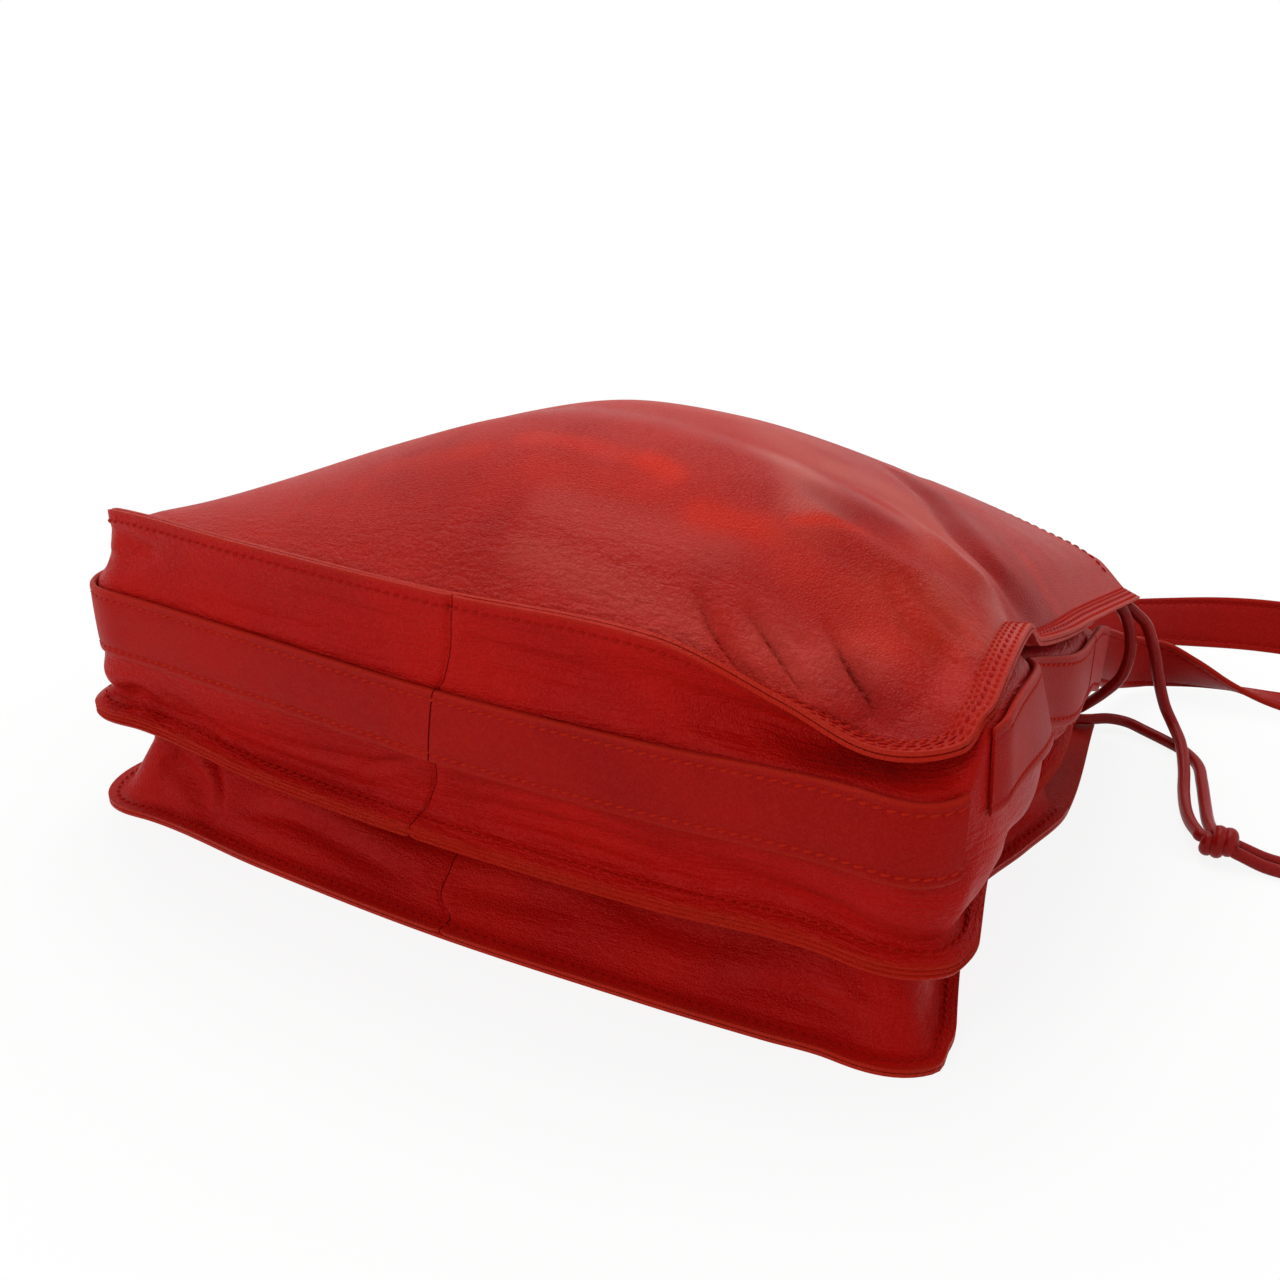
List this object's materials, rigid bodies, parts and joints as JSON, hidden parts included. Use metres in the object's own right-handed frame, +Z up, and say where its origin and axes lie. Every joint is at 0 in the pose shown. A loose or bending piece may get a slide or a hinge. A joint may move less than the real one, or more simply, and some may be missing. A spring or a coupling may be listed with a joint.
{
  "type": "shoulder bag",
  "caption": "Soft leather shoulder bag with a gusseted main and rear compartment, flat strap and cinch cord, lying on its back panel.",
  "frame": {"origin": "centre of the back panel's underside, on the surface the bag lies on", "axes": "+X along the bag's bottom to its right side, +Y from the bottom towards the mouth, +Z up from the back panel to the front panel"},
  "size_m": [0.5583, 0.4511, 0.1814],
  "materials": {
    "body_leather": "soft nappa, fine pebbled grain, semi-matt",
    "strap_leather": "firm leather, smooth, semi-matt",
    "cord_leather": "rolled leather cord, satin"
  },
  "bodies": {
    "root": {"front_panel": "body_leather", "middle_panel": "body_leather", "back_panel": "body_leather", "main_gusset_left": "body_leather", "main_gusset_right": "body_leather", "rear_gusset_left": "body_leather", "rear_gusset_right": "body_leather", "bottom_band_left": "strap_leather", "bottom_band_right": "strap_leather", "side_band_left": "strap_leather", "side_band_right": "strap_leather", "shoulder_strap": "strap_leather", "tie_cord_front": "cord_leather", "tie_cord_back": "cord_leather", "tie_cord_link": "cord_leather", "tie_tail_long": "cord_leather", "tie_tail_short": "cord_leather", "tie_knot": "cord_leather"}
  },
  "joints": []
}
